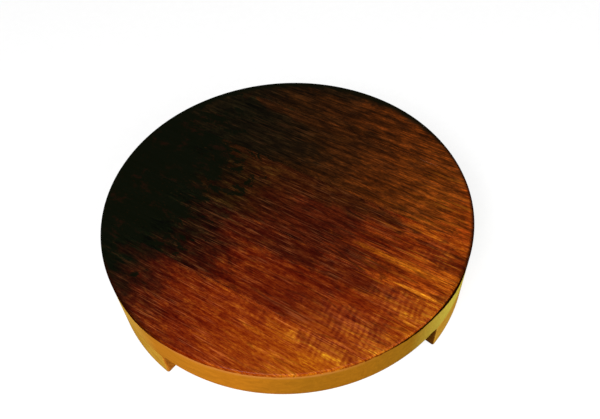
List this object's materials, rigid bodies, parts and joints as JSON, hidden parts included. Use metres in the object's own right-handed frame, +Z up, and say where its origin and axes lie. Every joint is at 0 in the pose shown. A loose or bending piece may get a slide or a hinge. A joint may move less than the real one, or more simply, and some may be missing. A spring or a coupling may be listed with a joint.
{
  "type": "rolling board",
  "caption": "Round wooden board on short arc legs, for rolling out flatbread dough, with a dark stained top and a pale rim",
  "frame": {"origin": "under the centre of the board, on the surface that its legs stand on", "axes": "+Z up through the rolling face, +Y through the rear leg, +X to the right; in plan the staves run 37 degrees clockwise of +X"},
  "size_m": [0.23, 0.23, 0.046],
  "materials": {
    "board": "dark stained and glossy on top, pale and clear-lacquered on the rim and below",
    "leg": "pale wood with a satin clear lacquer",
    "dowel": "bare beech",
    "screw": "zinc plated"
  },
  "bodies": {
    "root": {"stave_1": "board", "stave_2": "board", "stave_3": "board", "stave_4": "board", "stave_5": "board", "joint_1_left_dowel": "dowel", "joint_1_right_dowel": "dowel", "joint_2_left_dowel": "dowel", "joint_2_right_dowel": "dowel", "joint_3_left_dowel": "dowel", "joint_3_right_dowel": "dowel", "joint_4_left_dowel": "dowel", "joint_4_right_dowel": "dowel", "rear_leg": "leg", "right_leg": "leg", "left_leg": "leg", "rear_leg_screw_1": "screw", "rear_leg_screw_2": "screw", "right_leg_screw_1": "screw", "right_leg_screw_2": "screw", "left_leg_screw_1": "screw", "left_leg_screw_2": "screw"}
  },
  "joints": []
}
